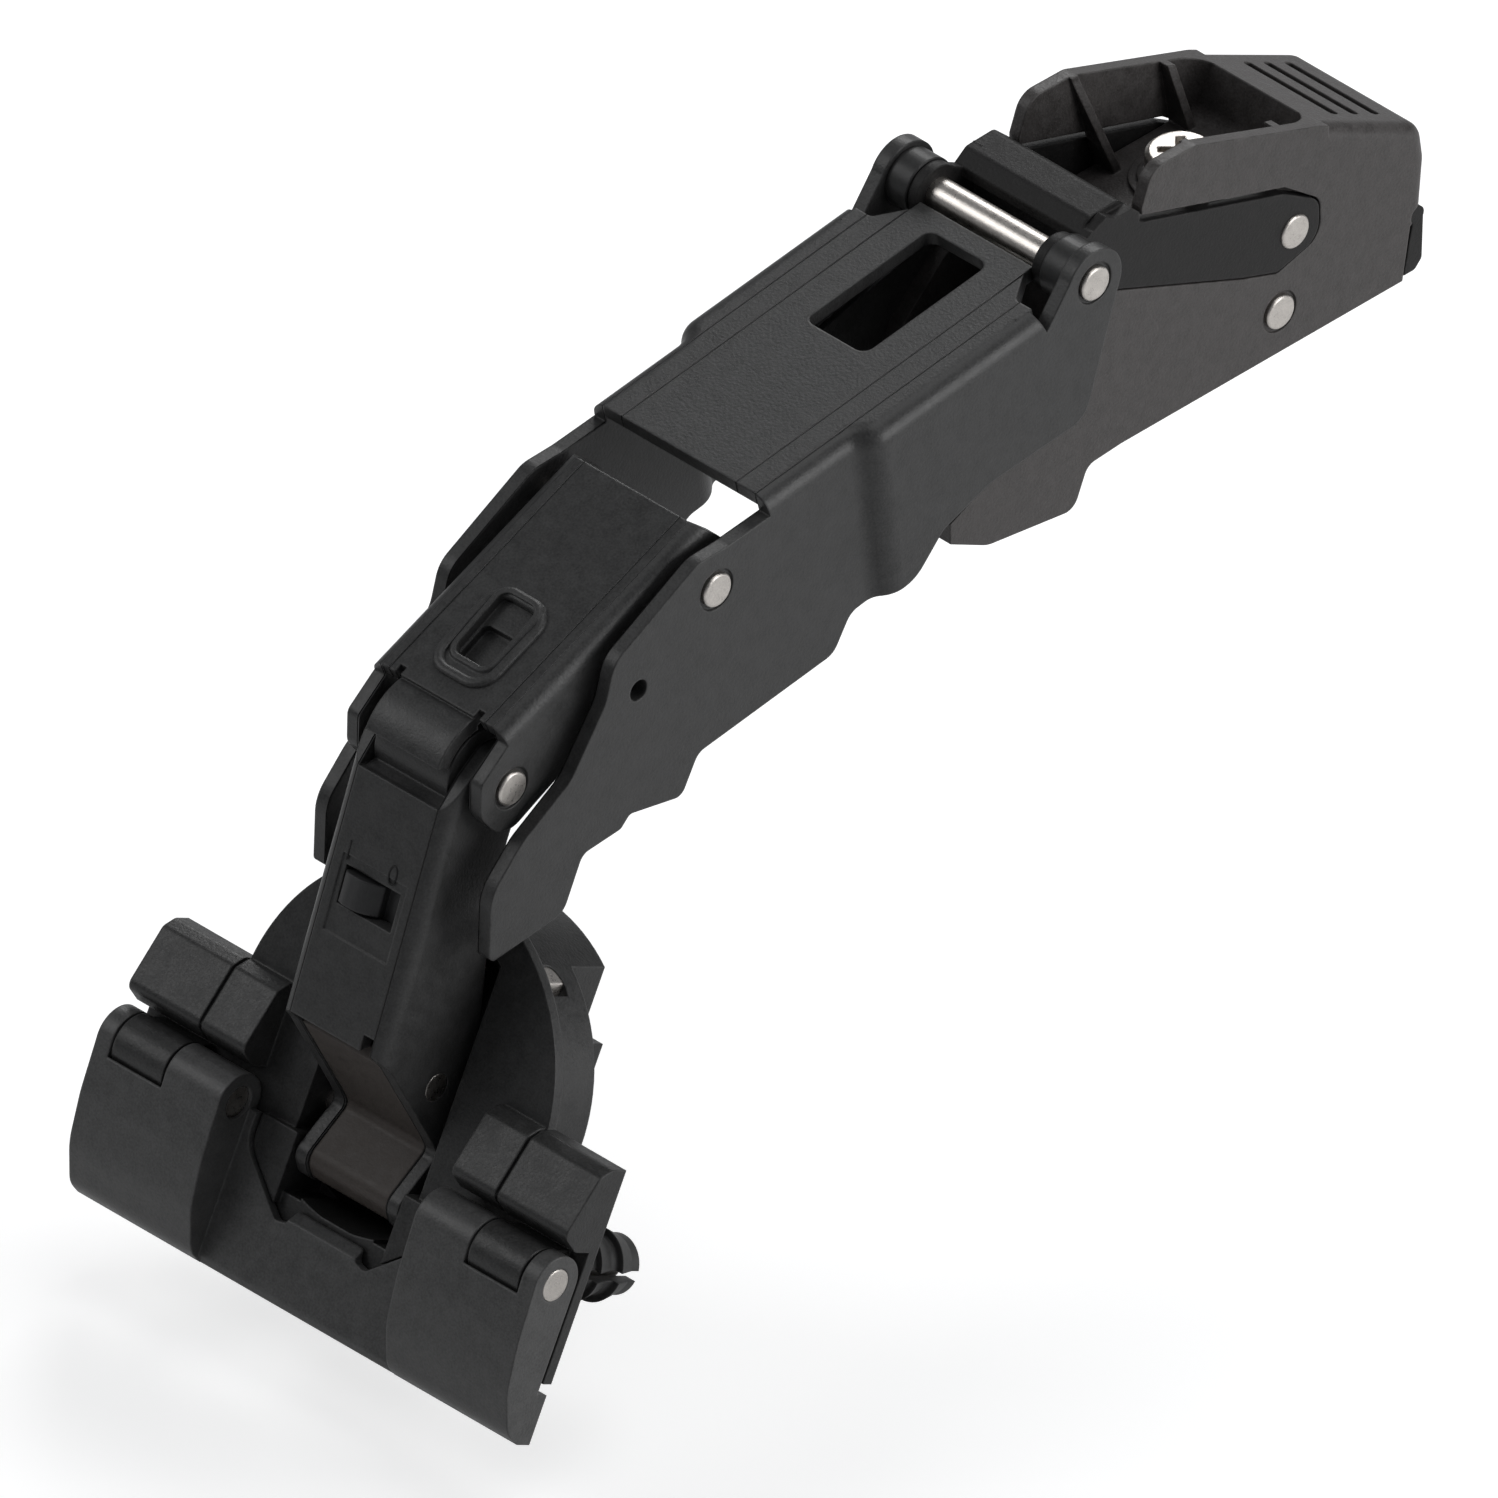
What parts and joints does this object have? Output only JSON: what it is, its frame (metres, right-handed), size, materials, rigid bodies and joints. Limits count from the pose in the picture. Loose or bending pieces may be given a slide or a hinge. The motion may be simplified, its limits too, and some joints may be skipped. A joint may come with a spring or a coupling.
{
  "type": "concealed hinge",
  "caption": "Wide-angle concealed cabinet hinge, fully open: arm, three folding levers, 35 mm cup with wings, expanding dowels and a locking flap",
  "frame": {"origin": "on the flat seat under the arm, below the axis of the depth screw, on the middle plane", "axes": "+X along the hinge pins, +Y from the door into the cabinet along the arm, +Z from the side panel up through the arm"},
  "size_m": [0.0568, 0.1393, 0.083],
  "materials": {
    "housing": "satin brown-black lacquer on die-cast zinc",
    "carrier": "satin black electrocoat",
    "washer": "nickel plated",
    "pin": "nickel plated, turned",
    "screw": "black zinc",
    "lever": "satin black electrocoat",
    "cam": "phosphated steel",
    "damper": "moulded",
    "cup": "satin black electrocoat",
    "dowel": "moulded",
    "core": "zinc plated",
    "flap": "satin black electrocoat"
  },
  "bodies": {
    "arm": {"arm_housing": "housing", "front_carrier": "carrier", "rod_washers": "washer", "hinge_rod": "pin", "strap_pin": "pin", "hook_pin": "pin"},
    "depth_screw": {"depth_screw": "pin"},
    "side_screw": {"side_screw": "screw"},
    "release_lever": {"release_lever": "carrier"},
    "lever": {"outer_lever": "lever", "lever_pin": "pin"},
    "middle": {"middle_link": "lever", "knuckle_pin": "pin"},
    "inner": {"inner_link": "lever", "cam_link": "cam", "cam_pin": "pin", "damper_body": "damper"},
    "slider": {"switch_slider": "damper"},
    "cup": {"cup": "cup", "cup_pin": "pin", "guide_pin": "pin", "dowel_left": "dowel", "dowel_right": "dowel", "flap_pins": "pin"},
    "expander_left": {"expander_left": "core"},
    "expander_right": {"expander_right": "core"},
    "flap": {"flap": "flap"}
  },
  "joints": [
    {"name": "lever_on_rod", "type": "hinge", "parent": "arm", "child": "lever", "pos_m": [0, -0.024, 0.024], "axis": [-1, 0, 0], "range_deg": [0, 154]},
    {"name": "middle_on_lever", "type": "hinge", "parent": "lever", "child": "middle", "pos_m": [0, -0.07155, 0.01259], "axis": [-1, 0, 0], "range_deg": [-128.01, 0]},
    {"name": "inner_on_middle", "type": "hinge", "parent": "middle", "child": "inner", "pos_m": [0, -0.09544, 0.00088], "axis": [-1, 0, 0], "range_deg": [0, 36.01]},
    {"name": "cup_on_inner", "type": "hinge", "parent": "inner", "child": "cup", "pos_m": [0, -0.10126, -0.0395], "axis": [-1, 0, 0], "range_deg": [0, 91.01]},
    {"name": "flap_on_cup", "type": "hinge", "parent": "cup", "child": "flap", "pos_m": [0, -0.10943, -0.03814], "axis": [1, 0, 0], "range_deg": [-80, 0]},
    {"name": "expander_left_slide", "type": "slide", "parent": "cup", "child": "expander_left", "axis": [0, 0.891, -0.454], "range_m": [0, 0.0015]},
    {"name": "expander_right_slide", "type": "slide", "parent": "cup", "child": "expander_right", "axis": [0, 0.891, -0.454], "range_m": [0, 0.0015]},
    {"name": "switch_slide", "type": "slide", "parent": "inner", "child": "slider", "axis": [1, 0, 0], "range_m": [0, 0.0022]},
    {"name": "depth_screw_turn", "type": "hinge", "parent": "arm", "child": "depth_screw", "pos_m": [0, 0, 0.0206], "axis": [0, 0, 1], "range_deg": [-180, 180]},
    {"name": "side_screw_turn", "type": "hinge", "parent": "arm", "child": "side_screw", "pos_m": [0, -0.032, 0.006], "axis": [0, 0, 1], "range_deg": [-180, 180]},
    {"name": "release_lever_turn", "type": "hinge", "parent": "arm", "child": "release_lever", "pos_m": [0, 0.0223, 0.0063], "axis": [1, 0, 0], "range_deg": [0, 8]}
  ],
  "couplings": [
    {"joint": "middle_on_lever", "follows": "lever_on_rod", "ratio": -0.83117},
    {"joint": "inner_on_middle", "follows": "lever_on_rod", "ratio": 0.23377},
    {"joint": "cup_on_inner", "follows": "lever_on_rod", "ratio": 0.59091},
    {"joint": "expander_left_slide", "follows": "flap_on_cup", "m_per_rad": -0.0010743},
    {"joint": "expander_right_slide", "follows": "flap_on_cup", "m_per_rad": -0.0010743}
  ]
}
